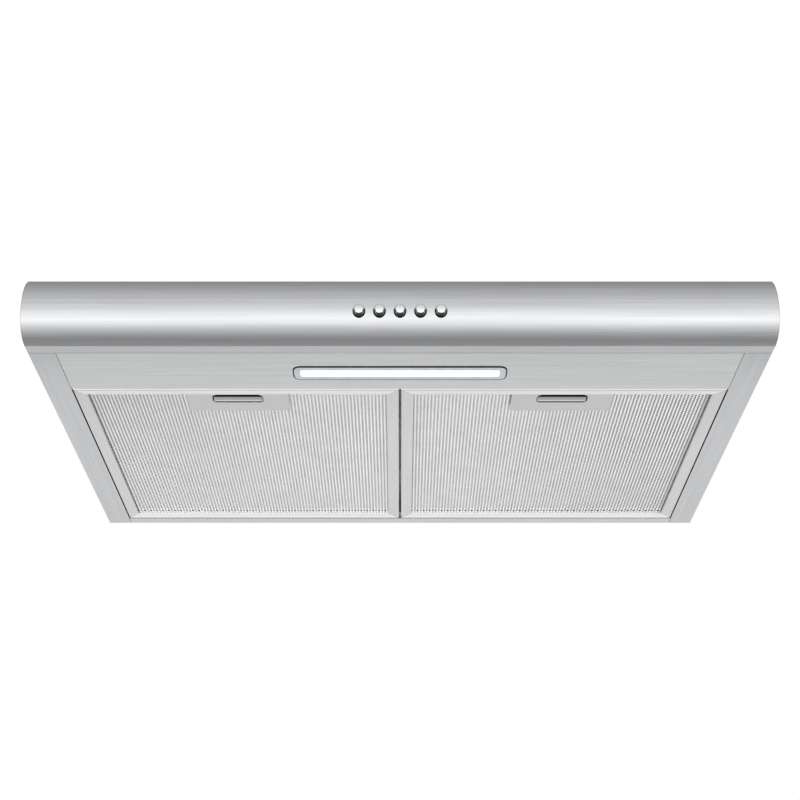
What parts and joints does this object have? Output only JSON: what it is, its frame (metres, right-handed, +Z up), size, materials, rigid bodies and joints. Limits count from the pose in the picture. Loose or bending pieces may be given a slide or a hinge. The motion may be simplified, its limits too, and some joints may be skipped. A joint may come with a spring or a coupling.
{
  "type": "under cabinet range hood",
  "caption": "Slim under-cabinet range hood with a rounded brushed-steel front, push buttons, a strip lamp and hinged mesh grease filters under a blower and duct collar.",
  "frame": {"origin": "centre of the rectangle of cabinet screws, on the top face of the deck", "axes": "+Z up, -Y towards the cook (the visor and buttons), +X to the right of a person facing the wall"},
  "size_m": [0.75, 0.5054, 0.1688],
  "materials": {
    "brushed_stainless": "brushed along the width",
    "zinc_coated_steel": "zinc coated sheet",
    "clear_lamp_plastic": "clear moulded",
    "opal_lamp_plastic": "opal, lit from behind",
    "white_enamel": "white gloss paint",
    "circuit_board": "white solder mask",
    "black_moulded_plastic": "fine moulded grain",
    "grey_moulded_plastic": "fine moulded grain",
    "anodised_aluminium": "satin anodised",
    "expanded_aluminium": "expanded sheet, bright",
    "satin_handle_sheet": "satin, very fine",
    "polished_latch_metal": "polished",
    "chrome_plate": "bright chrome plate",
    "spring_steel": "drawn wire",
    "motor_enamel": "satin black paint",
    "black_rubber": "moulded",
    "capacitor_case": "white moulded",
    "terminal_plastic": "natural nylon",
    "wire_sleeve": "woven sleeve",
    "rivet_aluminium": "plain"
  },
  "bodies": {
    "canopy": {"canopy_shell": "zinc_coated_steel", "side_panel_left": "brushed_stainless", "side_panel_right": "brushed_stainless", "back_panel": "brushed_stainless", "visor_front": "brushed_stainless", "visor_end_cap_left": "brushed_stainless", "visor_end_cap_right": "brushed_stainless", "lamp_panel": "brushed_stainless", "lamp_bezel": "clear_lamp_plastic", "lamp_diffuser": "opal_lamp_plastic", "lamp_housing": "white_enamel", "led_board": "circuit_board", "led_driver": "black_moulded_plastic", "filter_hinge_brackets": "zinc_coated_steel", "filter_centre_rail": "zinc_coated_steel", "scroll_lower": "grey_moulded_plastic", "scroll_upper": "grey_moulded_plastic", "intake_grille": "grey_moulded_plastic", "motor": "motor_enamel", "motor_bracket": "zinc_coated_steel", "motor_grommets": "black_rubber", "capacitor": "capacitor_case", "outlet_plenum": "black_moulded_plastic", "duct_collar": "black_moulded_plastic", "flap_pin": "spring_steel", "switch_block": "black_moulded_plastic", "switch_bracket": "zinc_coated_steel", "button_springs": "spring_steel", "junction_box": "black_moulded_plastic", "junction_cover": "black_moulded_plastic", "terminal_block": "terminal_plastic", "cable_bushing": "black_rubber", "wiring_harness": "wire_sleeve", "harness_clips": "black_moulded_plastic", "casing_rivets": "rivet_aluminium"},
    "button_1": {"button_1": "chrome_plate"},
    "button_2": {"button_2": "chrome_plate"},
    "button_3": {"button_3": "chrome_plate"},
    "button_4": {"button_4": "chrome_plate"},
    "button_5": {"button_5": "chrome_plate"},
    "filter_left": {"filter_frame_left": "anodised_aluminium", "front_mesh_left": "expanded_aluminium", "mesh_pack_left": "expanded_aluminium", "rear_mesh_left": "expanded_aluminium", "handle_plate_left": "satin_handle_sheet", "latch_cup_left": "black_moulded_plastic", "latch_springs_left": "spring_steel"},
    "latch_left": {"latch_slide_left": "polished_latch_metal"},
    "filter_right": {"filter_frame_right": "anodised_aluminium", "front_mesh_right": "expanded_aluminium", "mesh_pack_right": "expanded_aluminium", "rear_mesh_right": "expanded_aluminium", "handle_plate_right": "satin_handle_sheet", "latch_cup_right": "black_moulded_plastic", "latch_springs_right": "spring_steel"},
    "latch_right": {"latch_slide_right": "polished_latch_metal"},
    "impeller": {"impeller": "grey_moulded_plastic", "motor_shaft": "spring_steel"},
    "flap_left": {"damper_flap_left": "grey_moulded_plastic"},
    "flap_right": {"damper_flap_right": "grey_moulded_plastic"}
  },
  "joints": [
    {"name": "button_1_press", "type": "slide", "parent": "canopy", "child": "button_1", "axis": [0, 1, 0], "range_m": [0, 0.0035], "stiffness_N_per_m": 300, "springref_m": -0.003},
    {"name": "button_2_press", "type": "slide", "parent": "canopy", "child": "button_2", "axis": [0, 1, 0], "range_m": [0, 0.0035], "stiffness_N_per_m": 300, "springref_m": -0.003},
    {"name": "button_3_press", "type": "slide", "parent": "canopy", "child": "button_3", "axis": [0, 1, 0], "range_m": [0, 0.0035], "stiffness_N_per_m": 300, "springref_m": -0.003},
    {"name": "button_4_press", "type": "slide", "parent": "canopy", "child": "button_4", "axis": [0, 1, 0], "range_m": [0, 0.0035], "stiffness_N_per_m": 300, "springref_m": -0.003},
    {"name": "button_5_press", "type": "slide", "parent": "canopy", "child": "button_5", "axis": [0, 1, 0], "range_m": [0, 0.0035], "stiffness_N_per_m": 300, "springref_m": -0.003},
    {"name": "filter_left_hinge", "type": "hinge", "parent": "canopy", "child": "filter_left", "pos_m": [-0.1736, 0.128, -0.125], "axis": [1, 0, 0], "range_deg": [0, 60]},
    {"name": "latch_left_pull", "type": "slide", "parent": "filter_left", "child": "latch_left", "axis": [0, 1, 0], "range_m": [0, 0.006], "stiffness_N_per_m": 300, "springref_m": -0.004},
    {"name": "filter_right_hinge", "type": "hinge", "parent": "canopy", "child": "filter_right", "pos_m": [0.1736, 0.128, -0.125], "axis": [1, 0, 0], "range_deg": [0, 60]},
    {"name": "latch_right_pull", "type": "slide", "parent": "filter_right", "child": "latch_right", "axis": [0, 1, 0], "range_m": [0, 0.006], "stiffness_N_per_m": 300, "springref_m": -0.004},
    {"name": "impeller_spin", "type": "hinge", "parent": "canopy", "child": "impeller", "pos_m": [-0.195, -0.01, -0.06], "axis": [0, 0, 1], "continuous": true},
    {"name": "flap_left_hinge", "type": "hinge", "parent": "canopy", "child": "flap_left", "pos_m": [0, 0.066, 0.012], "axis": [0, 1, 0], "range_deg": [0, 80]},
    {"name": "flap_right_hinge", "type": "hinge", "parent": "canopy", "child": "flap_right", "pos_m": [0, 0.066, 0.012], "axis": [0, -1, 0], "range_deg": [0, 80]}
  ]
}
